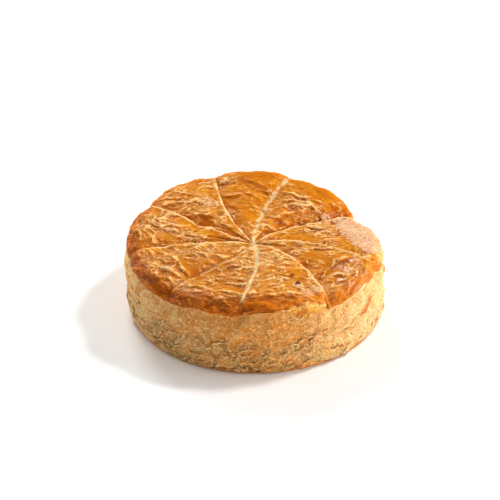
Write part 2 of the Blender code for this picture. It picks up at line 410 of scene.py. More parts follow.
def folded(x, y):
    """Height of all the big folds, and their thin crests."""
    total = np.zeros(len(x))
    crests = np.zeros(len(x))
    for number, fold in enumerate(FOLDS):
        along, front, length = along_fold(x, y, fold)
        near = (np.abs(along - 0.5) < 0.6) & (np.abs(front) < 14.0)
        along, front = along[near], front[near]
        place = along * length
        front = front + 1.0 * noise(place / 5.0, along * 0.0 + number, 41)
        front = front + 0.30 * noise(place / 1.6, along * 0.0 + number, 42)
        ends = ease((along + 0.08) / 0.3) * ease((1.08 - along) / 0.3)
        tall = fold[5] * ends * (0.8 + 0.7 * noise(place / 6.0, along * 0.0 + number, 43))
        back = np.exp(-np.abs(np.minimum(front, 0.0)) / 3.4)
        ahead = np.maximum(front, 0.0)
        steep = 1.4 * np.exp(-(ahead / 0.85) ** 2) - 0.4 * np.exp(-(ahead / 3.4) ** 2)
        total[near] += tall * 0.85 * np.where(front < 0.0, back, steep)
        broken = ease(0.45 + 1.3 * noise(place / 3.0, along * 0.0 + number, 45))
        thin = np.exp(-((front + 0.25) / 0.42) ** 2) * ends * broken
        crests[near] = np.maximum(crests[near], thin * min(1.0, fold[5] + 0.2))
    return total, crests


def direction_at(x, y):
    """Which way wrinkles run, kept as a doubled angle, since a line has no front end."""
    radius = np.hypot(x, y)
    around = np.arctan2(y, x)
    by_rim = ease((radius - 36.0) / 12.0)
    cosine = 0.30 * (1.0 - by_rim) - 0.9 * by_rim * np.cos(2.0 * around)
    sine = -0.9 * by_rim * np.sin(2.0 * around)
    for fold in FOLDS:
        along, front, length = along_fold(x, y, fold)
        beyond = length * (np.abs(along - 0.5) - np.minimum(np.abs(along - 0.5), 0.5))
        weight = np.exp(-(front ** 2 + beyond ** 2) / 6.0 ** 2)
        heading = 2.0 * math.atan2(fold[3] - fold[1], fold[2] - fold[0])
        cosine += weight * math.cos(heading)
        sine += weight * math.sin(heading)
    size = np.hypot(cosine, sine) + 1e-6
    return cosine / size, sine / size


# %% [markdown]
# ## Fine wrinkles
#
# Between the folds the skin is creased all over by finer crests, about three millimetres
# apart with smaller ones between. They follow the big folds near by. The same noise is
# worked out six times, turned a little each time, and the ones that run the right way
# are mixed.

# %% Wrinkles
TURNS = 6

# Place, radius, and how busy (above nought) or calm (below) the skin is there.
SPOTS = (
    (-7.0, 30.0, 9.0, -0.4), (-3.0, 15.0, 7.0, -0.4), (-30.0, 15.5, 5.0, -0.4),
    (-20.0, 11.5, 5.0, -0.4), (-11.0, 7.0, 5.0, -0.3), (-38.0, -5.0, 6.0, -0.3),
    (-25.0, -26.0, 5.0, -0.4), (-12.0, -39.5, 5.0, -0.4), (16.0, -27.5, 6.0, -0.5),
    (23.0, -12.5, 5.0, -0.5), (31.0, -21.0, 6.0, -0.6), (20.0, 2.0, 5.0, -0.4),
    (27.0, 38.0, 10.0, -0.7), (15.0, 24.0, 4.0, -0.4), (10.0, 14.0, 4.0, -0.4),
    (0.0, 47.0, 9.0, -0.7), (42.0, -25.0, 8.0, 0.1), (34.0, 31.0, 6.0, -0.5),
    (5.0, -18.0, 9.0, 0.5), (-7.0, -24.0, 9.0, 0.4), (-27.0, -12.0, 9.0, 0.4),
    (20.0, 28.0, 7.0, 0.5), (28.0, 10.0, 8.0, 0.3), (22.0, -10.0, 4.5, 0.4),
    (-20.0, 25.0, 5.0, 0.6), (-36.0, 9.0, 7.0, 0.3), (-46.0, 6.0, 5.0, 0.4),
    (22.0, -42.0, 7.0, 0.5), (-8.0, -34.0, 6.0, 0.3), (6.0, -34.0, 6.0, 0.3),
)


def ridge(value, sharpness):
    """High where the noise crosses zero, falling off on both sides."""
    return np.clip(1.0 - np.abs(value) * 1.6, 0.0, 1.0) ** sharpness


def overlap(phase):
    """A slow rise and a quick fall, like the edge of one scale over the next."""
    part = phase - np.floor(phase)
    return np.where(part < 0.78, ease(part / 0.78) ** 0.8, ease((1.0 - part) / 0.22))


def busy_at(x, y):
    busy = 0.80 + 0.45 * noise(x / 11.0, y / 8.0, 21)
    for sx, sy, size, more in SPOTS:
        busy = busy + more * np.exp(-((x - sx) ** 2 + (y - sy) ** 2) / size ** 2)
    return np.clip(busy, 0.2, 1.3)


def turned_noise(x, y, direction, apart, seed):
    """Noise drawn out along the local direction; its zero lines become the crests."""
    total = np.zeros(len(x))
    power = np.full(len(x), 1e-6)
    for step in range(TURNS):
        turn = math.pi * step / TURNS
        share = direction[0] * math.cos(2.0 * turn) + direction[1] * math.sin(2.0 * turn)
        share = np.clip(share, 0.0, 1.0) ** 3
        along = x * math.cos(turn) + y * math.sin(turn)
        beside = y * math.cos(turn) - x * math.sin(turn)
        total += share * noise(along / (3.0 * apart), beside / apart, seed + step)
        power += share ** 2
    return total / np.sqrt(power)


def wrinkles(x, y, direction, lift):
    """Height of the fine wrinkles in millimetres, and the thin crests on them."""
    bent_x = x + 1.8 * noise(x / 7.0, y / 6.0, 12) + 0.5 * noise(x / 2.2, y / 2.2, 14)
    bent_y = y + 1.5 * noise(x / 6.0, y / 7.0, 11) + 0.5 * noise(x / 2.4, y / 2.4, 13) + lift
    broad = turned_noise(bent_x, bent_y, direction, 3.6, 100)
    small = turned_noise(bent_x, bent_y, direction, 1.9, 200)
    finest = turned_noise(bent_x, bent_y, direction, 1.15, 300)
    here = ease(0.50 + 1.3 * noise(x / 8.0, y / 5.0, 20))
    there = ease(0.50 + 1.3 * noise(x / 5.0, y / 4.0, 24))
    height = 0.75 * here * (ridge(broad, 1.6) + 0.7 * broad)
    height += 0.58 * there * (ridge(small, 1.4) + 0.5 * small) + 0.30 * ridge(finest, 1.4)
    thin = np.maximum(ridge(broad, 5.0) * here, 0.8 * ridge(small, 3.0) * there)
    thin = np.maximum(thin, 0.55 * ridge(finest, 2.0) * (1.0 - 0.4 * here))
    return height - 0.55, thin


# %% [markdown]
# ## Blisters, hollows and the things that went wrong
#
# No two cakes bake alike. This one has blisters near its right-hand rim, a few sunken
# spots, one corner the egg wash missed, a crack with a sunken block beyond it, and a
# burnt fleck in a pale ring.

# %% Blisters and hollows
# Place, radius, and how far up (blisters) or down (hollows) it goes.
BULGES = (
    (41.0, -24.5, 3.2, 0.45), (45.0, -22.5, 2.0, 0.4), (16.0, -27.5, 5.5, 0.7),
    (35.5, -27.0, 2.0, 0.35), (37.5, -32.0, 1.6, 0.3), (46.5, -16.5, 1.8, 0.3),
    (15.5, 24.0, 3.4, -1.2), (10.5, 14.0, 3.8, -1.2), (-25.4, 4.6, 1.1, -1.1),
    (-38.5, -5.0, 4.0, -0.6), (-37.5, -30.5, 3.4, -0.8), (-45.0, -25.0, 2.6, -0.6),
    (14.5, -31.0, 1.5, -0.9), (30.0, -21.0, 4.0, -0.6), (-24.0, 12.5, 7.0, -0.7),
    (37.0, -24.0, 6.5, -0.4), (20.0, 17.0, 3.0, -0.5), (-7.5, 22.0, 4.0, -0.4),
)

# The corner the egg wash missed, and smaller dry places: place and radius.
BARE_CORNERS = ((34.0, 23.5), (36.5, 7.5), (43.0, -7.0), (49.0, -12.0), (55.0, -8.0),
                (57.0, 4.0), (54.0, 17.0), (46.0, 31.5))
DRY_SPOTS = ((21.0, -44.5, 3.2), (29.5, 23.3, 3.4), (-20.0, 26.5, 3.4), (24.5, -42.0, 2.4),
             (18.5, -41.0, 2.0))
FLECK = (17.1, -38.2)

# Wide patches that baked paler (above nought) or darker (below): place, radius, how much.
SHADES = ((-12.0, -27.0, 12.0, -0.40), (-28.0, -18.0, 12.0, -0.30), (-22.0, 28.0, 12.0, 0.12),
          (-25.0, 8.0, 12.0, 0.14), (28.0, -2.0, 9.0, 0.10), (25.0, 5.0, 9.0, -0.10),
          (10.0, 25.0, 12.0, -0.10), (3.0, 40.0, 14.0, -0.15))
CRACKS = (
    (26.4, -28.6, 34.5, -17.0, 1.3, 0.7), (35.5, -16.4, 42.0, -14.8, 0.6, 0.3),
    (-17.0, 48.0, -13.0, 51.5, 0.0, 0.3), (-17.0, 47.0, -9.0, 50.0, 0.3, 0.3),
)


def bulged(x, y):
    up = np.zeros(len(x))
    down = np.zeros(len(x))
    for bx, by, size, tall in BULGES:
        away = np.hypot(x - bx, y - by) / size + 0.25 * noise(x / 2.5, y / 2.5, 44)
        shape = 1.0 - ease(away / 1.15)
        if tall > 0.0:
            up += tall * shape
        else:
            down += -tall * shape
    return up, down


def inside(x, y, corners):
    """How far inside the shape a point is; the corners go around it counter-clockwise."""
    depth = np.full(len(x), 99.0)
    for (x0, y0), (x1, y1) in zip(corners, corners[1:] + corners[:1]):
        length = math.hypot(x1 - x0, y1 - y0)
        depth = np.minimum(depth, ((x1 - x0) * (y - y0) - (y1 - y0) * (x - x0)) / length)
    return depth


def bare_at(x, y):
    ragged = 2.2 * noise(x / 3.0, y / 2.4, 47) + 1.2 * noise(x / 1.1, y / 1.0, 48)
    bare = ease((inside(x, y, BARE_CORNERS) + ragged + 0.3) / 1.2)
    for sx, sy, size in DRY_SPOTS:
        away = np.hypot(x - sx, y - sy) / size + 0.4 * ragged
        bare = np.maximum(bare, 0.6 * (1.0 - ease((away - 0.4) / 0.7)))
    return bare


def cracked(x, y):
    total = np.zeros(len(x))
    for fold in CRACKS:
        along, front, length = along_fold(x, y, fold)
        place = along * length
        wide = 0.28 * (1.0 + 0.8 * noise(place / 1.7, place * 0.0, 49))
        front = front + 0.5 * noise(place / 2.0, place * 0.0, 50)
        ends = ease((along + 0.02) / 0.12) * ease((1.02 - along) / 0.12)
        total = np.maximum(total, fold[5] * ends * np.exp(-(front / wide) ** 2))
    return total


# %% [markdown]
# ## The scores in the skin
#
# A score opens as the cake rises. Its floor was never glazed, so it stays pale. The two
# that run from back to front opened wide and show a cream line all the way. The others
# closed again, with one lip pushed up over the other.

# %% The scores
unrolled = arcs[ring] - radii[ring]
plan_x = places[:, 0] + unrolled * np.cos(angle)
plan_y = places[:, 1] + unrolled * np.sin(angle)
lay_flat_from_above(top, plan_x, plan_y)
at_roll = ease((ring - len(flat_radii) + 3) / 14.0)
side_of = np.where(share > 0.5, -1.0, 1.0)
cut_radius = reach * LIP_RADIUS
wander = 0.40 * noise(cut_radius / 3.6, nearest * 5.3, 61) + 0.25 * noise(
    cut_radius / 1.3, nearest * 5.3, 62)
from_cut = np.abs(edge * side_of + wander * ease(cut_radius / 6.0))
_, _, _, _, cut_depth, cut_half, cut_pale, pale_until, far_dip, near_swell = SCORES[nearest].T
half_width = cut_half * (1.0 + 0.6 * noise(cut_radius / 2.0, nearest * 7.1, 63)
                         + 0.4 * noise(cut_radius / 0.8, nearest * 6.1 + side_of, 67))
cut = 1.0 - ease(from_cut / (half_width + 0.35))
near_side = np.clip(-side_of * np.cos(angle) * 2.5, 0.0, 1.0) * ease(cut_radius / 5.0)
far_side = np.clip(side_of * np.cos(angle) * 2.5, 0.0, 1.0)
varied = ease(cut_radius / 9.0) * (0.8 + 0.7 * noise(cut_radius / 9.0, nearest * 4.3, 68))
valley = far_side * varied * far_dip * np.exp(-(from_cut / 3.6) ** 2)
swelling = near_side * varied * near_swell * np.exp(-((from_cut - 0.6) / 2.2) ** 2)
lip = np.exp(-((from_cut - half_width - 0.4) / 0.45) ** 2)
lip *= 0.25 + 0.75 * ease(0.5 + 1.3 * noise(cut_radius / 4.0, nearest * 2.3, 64))
calm = ease((from_cut - 0.5) / 2.0) * 0.7 + 0.3
faded = 1.0 - ease((cut_radius - pale_until) / 8.0)
patchy = np.clip(0.85 + 0.9 * noise(cut_radius / 1.8, nearest * 3.1 + from_cut / 1.5, 65), 0, 1)
raw = (1.0 - ease((from_cut - half_width * 0.6) / 0.5)) * cut_pale * faded * patchy
raw = raw * (1.0 - at_roll) + 0.6 * np.exp(-(cut_radius / 1.3) ** 2)
print("scores are pale over", round(100.0 * float((raw > 0.4).mean()), 1), "% of the top")

# %% [markdown]
# ## All of it together
#
# The relief is added up and every point is moved out along the skin. Near the lower lip
# it fades away, so that the skin closes on the side without a gap.

# %% Relief of the top
folds, fold_crest = folded(plan_x, plan_y)
direction = direction_at(plan_x, plan_y)
height, thin_crest = wrinkles(plan_x, plan_y, direction, 1.2 * folds)
busy = busy_at(plan_x, plan_y)
up, down = bulged(plan_x, plan_y)
bare = bare_at(plan_x, plan_y) * (1.0 - 0.5 * at_roll)
crack = cracked(plan_x, plan_y)
from_fleck = np.hypot(plan_x - FLECK[0], 0.7 * (plan_y - FLECK[1]))
around_rim = np.degrees(angle) * 0.94
slanted = around_rim + 0.8 * arcs[ring]
rim_fold = overlap(arcs[ring] / 3.0 + 1.2 * noise(around_rim / 9.0, arcs[ring] / 3.0, 66))
rim_fold *= ease(0.4 + 1.3 * noise(around_rim / 7.0, arcs[ring] / 2.5, 67))
leather = 0.55 * noise(slanted / 6.5, arcs[ring] / 3.2, 69) + 0.30 * ridge(
    noise(slanted / 5.5, arcs[ring] / 2.0, 70), 1.5) + 0.06 * ridge(
    noise(slanted / 1.8, arcs[ring] / 1.0, 71), 1.5)
crackle = 0.28 * ridge(noise(plan_x / 1.9, plan_y / 1.6, 72), 1.3) + 0.22 * noise(
    plan_x / 0.8, plan_y / 0.8, 73)
relief = busy * height * calm * (1.0 - 0.75 * bare) + folds * (0.35 + 0.65 * calm)
relief *= 1.0 - 0.60 * at_roll
relief += up - down + bare * (1.8 * crackle + 0.1)
relief += at_roll * (0.60 * rim_fold + leather - 0.25) * (1.0 - 0.6 * bare)
relief += (lip * (0.05 + 0.15 * near_side) + swelling - valley) * (1.0 - 0.6 * at_roll)
on_roll = np.where(nearest == 0, 1.3, 0.25)
relief -= cut_depth * cut * (1.0 + (on_roll - 1.0) * at_roll) + 0.9 * crack
relief += 0.8 * np.exp(-((from_fleck - 0.5) / 0.5) ** 2)
relief *= 1.0 - ease((ring - (len(radii) - 6)) / 5.0)
moved = move_out(top, places, relief)
print("relief from", round(float(relief.min()), 2), "to", round(float(relief.max()), 2), "mm")

# %% [markdown]
# ## Paint for the top
#
# The material reads a handful of numbers painted on the points. Crests were stretched
# thin, so they are pale, and a painted highlight lies on them too. Hollows held the egg
# wash, so they are yellow and glossy, and creases carry painted shade. What faces down at
# the front is painted darker as painted shade, and the rim browned most.

# %% Paint the top
degrees_t = (np.degrees(angle) + 180.0) % 360.0 - 180.0
ragged = 1.2 * noise(around_rim / 2.2, arcs[ring] / 1.4, 74)
flaked = ease((degrees_t + 81.0 + 2.0 * ragged) / 5.0) * ease((-56.5 - degrees_t) / 1.5)
flaked *= ease((arcs[ring] + 0.8 * ragged - 53.4 - 0.25 * np.abs(degrees_t + 66.0)) / 1.0)
by_patch = 1.0 - ease((np.abs(degrees_t + 5.0) + 2.0 * ragged - 5.0) / 6.0)
by_patch *= ease((arcs[ring] + ragged - 51.0) / 1.5)
flaked = np.maximum(flaked, 0.9 * by_patch)
# A thin painted highlight along the lower lip at the front right.
lip_highlight_line = ease((degrees_t + 57.0) / 3.0) * ease((-27.0 - degrees_t) / 6.0)
from_lip = arcs[ring] - 56.6 + 0.4 * noise(around_rim / 4.0, 0.0 * angle, 75)
lip_highlight_line *= np.exp(-(from_lip / 0.35) ** 2)
fine = relief - spread(top, relief, 8)
broad = relief - spread(top, relief, 70)
open_top = 1.0 - at_roll
shade = sum(more * np.exp(-((plan_x - sx) ** 2 + (plan_y - sy) ** 2) / size ** 2)
            for sx, sy, size, more in SHADES)
# Pale crests and raised parts: partly thin glaze, partly painted highlight.
crest_pale_and_highlight = np.maximum(thin_crest * busy * ease((fine + 0.10) / 0.2), fold_crest * 0.8)
crest_pale_and_highlight = np.maximum(crest_pale_and_highlight, lip * near_side * 0.8) * (1.0 - 0.85 * at_roll)
crest_pale_and_highlight *= 1.0 + np.minimum(shade, 0.0)
# Painted glints: thin pale lines on the rolled rim.
rim_glint = ridge(noise(slanted / 5.5, arcs[ring] / 2.0, 70), 4.0) * at_roll
crest_pale_and_highlight = np.maximum(np.maximum(crest_pale_and_highlight, lip_highlight_line), 0.32 * rim_glint * ease((fine + 0.05) / 0.2))
paint(top, "crest_pale_and_highlight", crest_pale_and_highlight + 0.25 * ease((broad - 0.1) / 0.6) * open_top)
# Tone varies at random and is lower in the sunken spots; raised parts are also painted lighter as
# painted highlight, and hollows and creases darker as painted shade.
tone_light_and_shade = 0.46 + broad / 1.2 + fine - 0.3 * down + 0.40 * (busy - 0.8) * open_top + shade
tone_light_and_shade -= 0.30 * ease((-fine - 0.20) / 0.3)
paint(top, "tone_light_and_shade", tone_light_and_shade)
paint(top, "raw", raw)
paint(top, "bare", bare)
# Where the fine crackle goes, with its lines of painted highlight and painted shade.
paint(top, "crackle_light_shade", ease((busy - 0.45) / 0.6) * (1.0 - 0.6 * at_roll) * (1.0 - bare))
# Painted shade: slopes that face the front are painted a deeper amber.
facing = normals_of(top) @ np.array([0.0, -1.0, 0.0])
paint(top, "steep", ease((spread(top, facing, 3) - 0.12) / 0.45))
# The fleck is burnt; the dark along the cracks and in the deep notch at the front right is painted
# shade.
burnt = 1.0 - ease((from_fleck - 0.9) / 0.5)
notch_shade = 0.6 * cut * at_roll * (nearest == 0)
paint(top, "dark", np.maximum(0.7 * ease(crack / 0.6), burnt) + notch_shade)
# A pale ring round the fleck, and a painted highlight at its middle.
ring_and_highlight = 0.6 * np.exp(-((from_fleck - 1.7) / 0.4) ** 2)
ring_and_highlight = np.maximum(ring_and_highlight, 0.5 * (1.0 - ease(from_fleck / 0.4)))
paint(top, "pale_ring_and_highlight", ring_and_highlight)
block = np.exp(-((plan_x - 38.5) ** 2 / 64.0 + (plan_y + 25.5) ** 2 / 110.0))
wet = block * 0.9 + 0.5 * ease((-broad - 0.05) / 0.4) * open_top + 0.6 * up
paint(top, "wet", wet * (1.0 - bare))
burn = ease(0.35 + 1.3 * noise(plan_x / 14.0, plan_y / 10.0, 51))
# The rim is darker towards the front left and lighter towards the right.
front_left = ease((np.cos(angle - math.radians(-135.0)) - 0.1) / 0.7)
at_right = ease((np.cos(angle - math.radians(-22.0)) - 0.6) / 0.3)
browned = ease((arcs[ring] - 45.0) / 7.0) * (0.45 + 0.55 * np.maximum(front_left, burn))
browned *= (1.0 - 0.75 * at_right) * (1.0 - flaked)
paint(top, "flaked", flaked)
paint(top, "browned", (browned + 0.2 * down) * (1.0 - bare))
paint(top, "burnt", front_left * 0.8 + 0.3 * burn)
print("painted", len(top.data.attributes), "layers")

# %% [markdown]
# ## The flaky side
#
# The disc was cut out with a knife, so its side shows the edges of the leaves. In the
# oven the upper leaves slid over each other and stayed smooth. The lower ones opened into
# a crinkled crumb. The noise is wrapped round the side so that it meets itself again.

# %% The side wall
SIDE_ROWS = 100
SEAM_SHARE = 0.5
SEAM_DEPTH = 0.35
BELLY = 0.7
FOOT_ROUND = 0.9
SHOULDER = 1.5
SHOULDER_ANGLE = 190.0
SHOULDER_HALF_WIDTH = 50.0

columns = COUNT * 96
row_share = np.linspace(1.0, 0.0, SIDE_ROWS)
side_row = np.repeat(np.arange(SIDE_ROWS), columns)
side_across = np.tile(np.arange(columns) * COUNT / columns, SIDE_ROWS)
level = row_share[side_row]

angle_s, wedge_s, share_s, edge_s, near_s = in_wedge(side_across, np.full(len(level), LIP_RADIUS))
lip_height = top_surface(side_across, np.full(len(level), LIP_RADIUS), ROLL_DROP)[0][:, 2]
plain = outline_offset(angle_s, 9.0 * NOTCH_WIDTH)
notched = outline_offset(angle_s, edge_s)
turn = (np.degrees(angle_s) - SHOULDER_ANGLE + 180.0) % 360.0 - 180.0
shoulder = SHOULDER * ease(1.0 - np.abs(turn) / SHOULDER_HALF_WIDTH)
top_radius = LIP_RADIUS - LIP_STEP + plain + (notched - plain) * ease((level - 0.8) / 0.2)
top_radius += shoulder * ease((1.0 - level) / 0.12)
foot_radius = BASE_RADIUS + 0.5 * plain
seam_share = SEAM_SHARE + 0.03 * np.sin(2.0 * angle_s + 1.0)
side_radius = foot_radius + (top_radius - foot_radius) * level
side_radius += BELLY * np.sin(2.0 * np.pi * level) ** 2
side_radius -= SEAM_DEPTH * np.exp(-((level - seam_share) / 0.04) ** 2)
side_radius -= FOOT_ROUND * (1.0 - ease(level / 0.04))
side_radius -= 0.6 * ease((level - 0.78) / 0.15)
side_z = level * lip_height
side_places = settled(side_radius * np.cos(angle_s), side_radius * np.sin(angle_s), side_z)

a = np.arange((SIDE_ROWS - 1) * columns)
right = a + 1 - columns * ((a % columns) == columns - 1)
side_faces = np.stack([a, a + columns, right + columns, right], axis=1).tolist()
side = make_piece("flaky_side", side_places, side_faces)

face_row, face_column = a // columns, a % columns
quarter = columns // 4
strip = face_column // quarter
map_x = (face_column - strip * quarter)[:, None] / quarter + np.array([0, 0, 1, 1]) / quarter
map_y = 0.99 - 0.98 * (face_row[:, None] + np.array([0, 1, 1, 0])) / (SIDE_ROWS - 1)
lay_flat(side, np.stack([map_x, (strip[:, None] + map_y) / 4.0], axis=-1))
print("side:", len(side.data.polygons), "faces")

# %% Relief of the side
SIDE_ROUND = 2.0 * math.pi * BASE_RADIUS
degrees_s = (np.degrees(angle_s) + 180.0) % 360.0 - 180.0


def round_noise(along, above, wide, tall, seed):
    """Noise in spots so wide and tall, in millimetres, that meets itself round the side."""
    cells = round(SIDE_ROUND / wide)
    return noise(along / SIDE_ROUND * cells, above / tall, seed, cells)


def near_angle(middle, half):
    """One at an angle round the side, falling to nought so many degrees away."""
    away = np.abs((degrees_s - middle + 180.0) % 360.0 - 180.0)
    return 1.0 - ease(away / half)


along = SIDE_ROUND * (angle_s / (2.0 * math.pi) + 1.0)
seam_z = seam_share * lip_height + 0.9 * round_noise(along, 0.0 * level, 9.0, 1.0, 35)
seam_z = seam_z + 0.3 * round_noise(along, 0.0 * level, 2.5, 1.0, 36)
bent = along + 1.6 * round_noise(along, side_z, 5.0, 4.0, 31) + 0.6 * round_noise(
    along, side_z, 1.8, 1.6, 32)
bent_z = side_z + 1.2 * round_noise(along, side_z, 6.0, 5.0, 33) + 0.5 * round_noise(
    along, side_z, 2.0, 1.6, 34)
below_seam = ease((seam_z + 3.0 - side_z) / 6.0) * (1.0 - 0.4 * near_angle(-20.0, 60.0))
open_crumb = 0.40 + 0.60 * below_seam - 0.30 * near_angle(-140.0, 45.0) * (1.0 - below_seam)
patches = ease(0.60 + 1.3 * round_noise(along, side_z, 8.0, 4.0, 37))
curl = round_noise(bent, bent_z, 2.6, 1.5, 38)
curl_small = round_noise(bent, bent_z, 1.4, 0.9, 39)
grit = round_noise(along, side_z, 0.85, 0.8, 40)
upright = round_noise(along, side_z, 3.0, 8.0, 41)
blotch = round_noise(bent, side_z, 6.0, 9.0, 42)
above_seam = side_z - seam_z
seam_open = ease(0.9 * round_noise(along, 0.0 * level, 9.0, 1.0, 43) + 0.7 * near_angle(-45.0, 50.0))
layers = round_noise(bent, side_z + 0.5 * blotch, 14.0, 1.7, 48)
seam = np.exp(-(above_seam / 0.40) ** 2) * seam_open
seam_lip = np.exp(-((above_seam - 0.9) / 0.6) ** 2) * seam_open
def drip_at(start, end, wide):
    """A run of egg wash from one (degrees, height) to another."""
    x0, x1 = (SIDE_ROUND * (value[0] / 360.0) for value in (start, end))
    here = SIDE_ROUND * degrees_s / 360.0
    run_x, run_z = x1 - x0, end[1] - start[1]
    part = ((here - x0) * run_x + (side_z - start[1]) * run_z) / (run_x ** 2 + run_z ** 2)
    part = np.clip(part, 0.0, 1.0)
    away = np.hypot(0.6 * (here - x0 - part * run_x), side_z - start[1] - part * run_z)
    return 1.0 - ease((away / (wide * (0.55 + 0.45 * part)) + 0.3 * grit - 0.6) / 0.5)


drips = drip_at((-29.0, 18.4), (-33.0, 14.9), 2.4)
drips = np.maximum(drips, 0.8 * drip_at((-28.0, 18.9), (-25.0, 18.4), 0.4))
drips = np.maximum(drips, 0.6 * drip_at((-40.0, 14.8), (-44.0, 11.8), 0.45))
at_left = near_angle(180.0, 60.0)
at_right_side = near_angle(-10.0, 60.0)
curls = 0.60 * ridge(curl, 1.8) + 0.40 * ridge(curl_small, 1.5)
side_relief = open_crumb * patches * curls
side_relief *= 1.0 - 0.5 * at_right_side - 0.35 * at_left
side_relief += 0.15 * ridge(curl_small, 1.2) + 0.16 * grit
side_relief += 0.35 * upright * (1.0 - open_crumb) * (1.0 - 0.5 * at_right_side)
side_relief += 0.40 * layers * near_angle(-25.0, 60.0)
side_relief += 0.35 * blotch * (1.0 - 0.4 * at_right_side)
side_relief += 0.25 * seam_lip - 0.5 * seam - 0.25 - 0.3 * open_crumb
side_relief = np.maximum(side_relief, 0.15) * drips + side_relief * (1.0 - drips) + 0.35 * drips
side_relief *= ease(level / 0.05) * ease((1.0 - level) / 0.03)
side_relief *= 1.0 - 0.5 * ease((level - 0.8) / 0.15)
side_moved = move_out(side, side_places, side_relief)
print("side relief from", round(float(side_relief.min()), 2), "to",
      round(float(side_relief.max()), 2), "mm")

# %% [markdown]
# ## Paint for the side
#
# The edges of the leaves are pale where they curl. The gaps between them are darker, with
# painted shade, and so is the seam. The upper part is mottled, golden at the front and cream
# at the right, and the foot has a thin toasted edge where it stood on the tray. Here and
# there egg wash ran over the lip.

# %% Paint the side
side_fine = side_relief - spread(side, side_relief, 8)
thin_leaf = np.maximum(ridge(curl, 3.0) * patches, 0.6 * ridge(curl_small, 2.0))
paint(side, "leaf", thin_leaf * (0.25 + 0.75 * open_crumb) + 0.35 * seam_lip)
paint(side, "open", 0.15 + 0.85 * open_crumb * (0.25 + 0.75 * patches))
# Painted shade: in the gaps just below the leaf edges, in hollows of the relief and in the seam; the
# very bottom is darker too.
gap_shade_share = np.maximum(ridge(curl - 0.22, 3.5) * patches, 0.6 * ridge(curl_small - 0.28, 2.5))
gap_shade_share = 0.5 * gap_shade_share * open_crumb + ease((-side_fine - 0.15) / 0.25) * 0.3 + 0.6 * seam
gap_shade_share *= (1.0 - 0.3 * at_left) * (1.0 - 0.5 * at_right_side)
gap_shade_share *= 1.0 - 0.3 * near_angle(-88.0, 45.0)
paint(side, "gap_shade", gap_shade_share + ease((0.02 - level) / 0.02) * 0.3)
mottle = round_noise(bent, bent_z, 2.4, 3.2, 47)
cream = 0.45 + 0.55 * blotch + 0.45 * upright * (1.0 - open_crumb) + 0.55 * mottle
cream += 0.7 * layers * near_angle(-25.0, 60.0)
cream += 0.5 * blotch * at_right_side
cream += 0.45 * near_angle(0.0, 70.0) + 0.25 * near_angle(180.0, 50.0)
cream -= 0.50 * near_angle(-90.0, 50.0) * (0.5 + 0.5 * ease(level / 0.5))
paint(side, "cream", cream)
paint(side, "honey", near_angle(-88.0, 55.0))
below_lip = (1.0 - level) * lip_height
run_down = -1.2 + 1.0 * round_noise(along, 0.0 * level, 3.0, 1.0, 44) + 0.7 * round_noise(
    along, 0.0 * level, 1.2, 1.0, 45)
run_down += 4.0 * near_angle(-67.0, 16.0)
golden = 1.0 - ease((below_lip - run_down - 1.6 * curl - 1.2 * curl_small) / 1.2)
paint(side, "golden", golden)
foot = 1.0 - ease((side_z - 0.7 - 0.5 * round_noise(along, 0.0 * level, 4.0, 1.0, 46)) / 0.7)
paint(side, "foot", foot)


paint(side, "drip", drips)
print("drips cover", round(100.0 * float((drips > 0.5).mean()), 2), "% of the side")

# %% [markdown]
# ## Leaves that lift off the side
#
# The thinnest leaves curl away from the crumb. Each is a short strip that starts on the
# wall and bends outwards. They sit mostly low down, where the side opened most.

# %% Loose leaves
LEAF_COUNT = 520
LEAF_ALONG = 9
LEAF_RISE = 3

wall = side_moved.reshape(SIDE_ROWS, columns, 3)
wall_height = lip_height[:columns]


def scatter(count, seed):
    """Even numbers from nought to one, always the same for the same seed."""
    return lattice(np.arange(count), np.full(count, 7), seed)


def wall_at(column, height):
    """A place on the wall: column counts round, height is in millimetres."""
    left = np.floor(column).astype(int)
    part = (column - left)[..., None]
    left = left % columns
    row = (1.0 - np.clip(height / wall_height[left], 0.0, 1.0)) * (SIDE_ROWS - 1)
    upper = np.clip(np.floor(row).astype(int), 0, SIDE_ROWS - 2)
    down = (row - upper)[..., None]
    sides = [wall[upper, c % columns] * (1.0 - down) + wall[upper + 1, c % columns] * down
             for c in (left, left + 1)]
    return sides[0] * (1.0 - part) + sides[1] * part


leaf_column = scatter(LEAF_COUNT, 81) * columns
leaf_height = 1.2 + 20.0 * scatter(LEAF_COUNT, 82) ** 1.4
leaf_length = 2.2 + 5.0 * scatter(LEAF_COUNT, 83) ** 2
leaf_bow = (scatter(LEAF_COUNT, 84) - 0.4) * 0.9 * leaf_length
leaf_tilt = (scatter(LEAF_COUNT, 85) - 0.5) * 1.6
leaf_lift = 0.45 + 0.65 * scatter(LEAF_COUNT, 86)
leaf_degrees = (np.degrees(angle_s[leaf_column.astype(int)]) + 180.0) % 360.0 - 180.0
flush = (np.abs(leaf_degrees + 30.0) < 8.0) & (leaf_height > 10.0)
flush |= (np.abs(leaf_degrees) < 62.0) & (scatter(LEAF_COUNT, 88) < 0.75)
flush |= (np.abs(leaf_degrees) > 145.0) & (scatter(LEAF_COUNT, 89) < 0.7)
leaf_lift = np.where(flush, 0.02, leaf_lift)
leaf_width = 0.45 + 0.55 * scatter(LEAF_COUNT, 87)
t = np.linspace(-1.0, 1.0, LEAF_ALONG)[None, :, None]
u = np.linspace(0.0, 1.0, LEAF_RISE)[None, None, :]


def by_leaf(values):
    return values[:, None, None]


